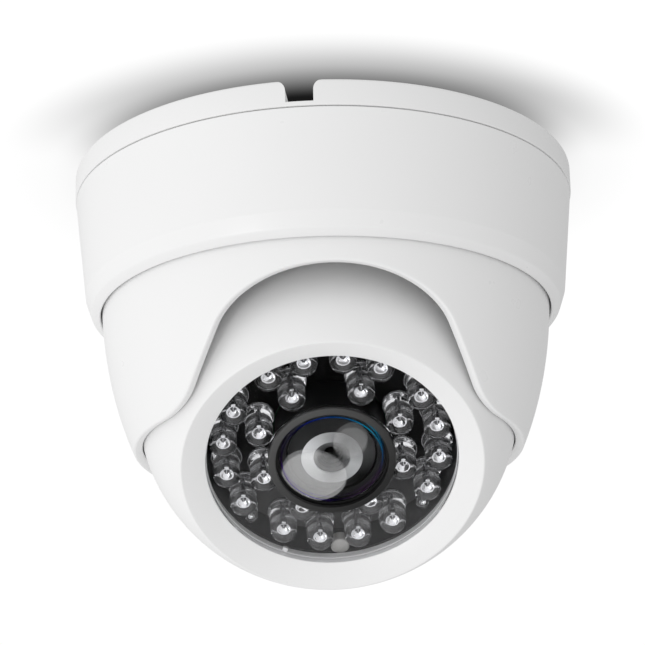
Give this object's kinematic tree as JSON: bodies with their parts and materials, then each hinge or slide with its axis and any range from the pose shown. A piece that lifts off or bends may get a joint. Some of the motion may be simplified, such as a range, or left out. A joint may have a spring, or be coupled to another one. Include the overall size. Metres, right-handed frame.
{
  "type": "dome cctv camera",
  "caption": "Ceiling dome camera: round base, twist-on cover ring, panning arched shroud and a tilting eyeball with a ring of infrared lamps round the lens.",
  "frame": {"origin": "centre of the base plate's flat mounting face, on the pan axis", "axes": "+Z out of the mounting face into the ceiling, -Y the way the camera looks, +X to the right of someone facing the camera"},
  "size_m": [0.094, 0.094, 0.0783],
  "materials": {
    "white_shell": "moulded white, smooth gloss",
    "white_satin": "moulded white, satin",
    "black_plastic": "moulded black, satin",
    "lens_housing": "dark grey anodised look, fine satin",
    "lens_baffle": "grey, fine turned rings",
    "rubber": "black, matt",
    "steel": "bright plated, fine grain",
    "lamp_board": "black solder mask, satin",
    "circuit_board": "green solder mask, satin",
    "clear_epoxy": "water-clear, polished",
    "clear_window": "clear, polished",
    "lens_glass": "coated glass, polished",
    "cell_cream": "cream, matt"
  },
  "bodies": {
    "base": {"base_plate": "white_satin", "friction_ring": "rubber"},
    "cover": {"cover_ring": "white_shell"},
    "shroud_unit": {"shroud": "white_shell", "pivot_keeper_left": "black_plastic", "pivot_keeper_right": "black_plastic"},
    "tilt_frame": {"tilt_hoop": "steel", "tilt_pin_left": "steel", "tilt_pin_right": "steel", "roll_bush": "black_plastic", "cable_sleeve": "rubber"},
    "eyeball": {"ball_front_shell": "white_shell", "ball_rear_shell": "white_shell", "shell_screw_1": "steel", "shell_screw_2": "steel", "shell_screw_3": "steel", "window": "clear_window", "window_gasket": "white_satin", "lamp_chassis": "black_plastic", "lamp_board": "lamp_board", "photo_cell": "cell_cream", "light_sensor_left": "clear_epoxy", "light_sensor_right": "clear_epoxy", "lamp_plug": "white_satin", "board_spacer_left": "white_satin", "board_spacer_right": "white_satin", "circuit_board": "circuit_board", "image_sensor": "black_plastic", "lens_holder": "black_plastic", "lamp_01": "clear_epoxy", "lamp_02": "clear_epoxy", "lamp_03": "clear_epoxy", "lamp_04": "clear_epoxy", "lamp_05": "clear_epoxy", "lamp_06": "clear_epoxy", "lamp_07": "clear_epoxy", "lamp_08": "clear_epoxy", "lamp_09": "clear_epoxy", "lamp_10": "clear_epoxy", "lamp_11": "clear_epoxy", "lamp_12": "clear_epoxy", "lamp_13": "clear_epoxy", "lamp_14": "clear_epoxy", "lamp_15": "clear_epoxy", "lamp_16": "clear_epoxy", "lamp_17": "clear_epoxy", "lamp_18": "clear_epoxy", "lamp_19": "clear_epoxy", "lamp_20": "clear_epoxy", "lamp_21": "clear_epoxy", "lamp_22": "clear_epoxy", "lamp_23": "clear_epoxy", "lamp_24": "clear_epoxy"},
    "lens": {"lens_barrel": "lens_housing", "lens_front_ring": "lens_housing", "lens_front_glass": "lens_glass", "lens_baffle": "lens_baffle", "lens_rear_glass": "lens_glass"}
  },
  "joints": [
    {"name": "cover_twist", "type": "hinge", "parent": "base", "child": "cover", "pos_m": [0, 0, -0.016], "axis": [0, 0, 1], "range_deg": [-30, 0]},
    {"name": "pan", "type": "hinge", "parent": "base", "child": "shroud_unit", "pos_m": [0, 0, -0.024], "axis": [0, 0, 1], "range_deg": [-176, 176]},
    {"name": "tilt", "type": "hinge", "parent": "shroud_unit", "child": "tilt_frame", "pos_m": [0, 0, -0.0438], "axis": [1, 0, 0], "range_deg": [-35, 37.4]},
    {"name": "roll", "type": "hinge", "parent": "tilt_frame", "child": "eyeball", "pos_m": [0, 0, -0.0438], "axis": [0, -0.6074, -0.7944], "range_deg": [-177, 177]},
    {"name": "focus", "type": "hinge", "parent": "eyeball", "child": "lens", "pos_m": [0, 0, -0.0438], "axis": [0, -0.6074, -0.7944], "range_deg": [-90, 90]}
  ]
}
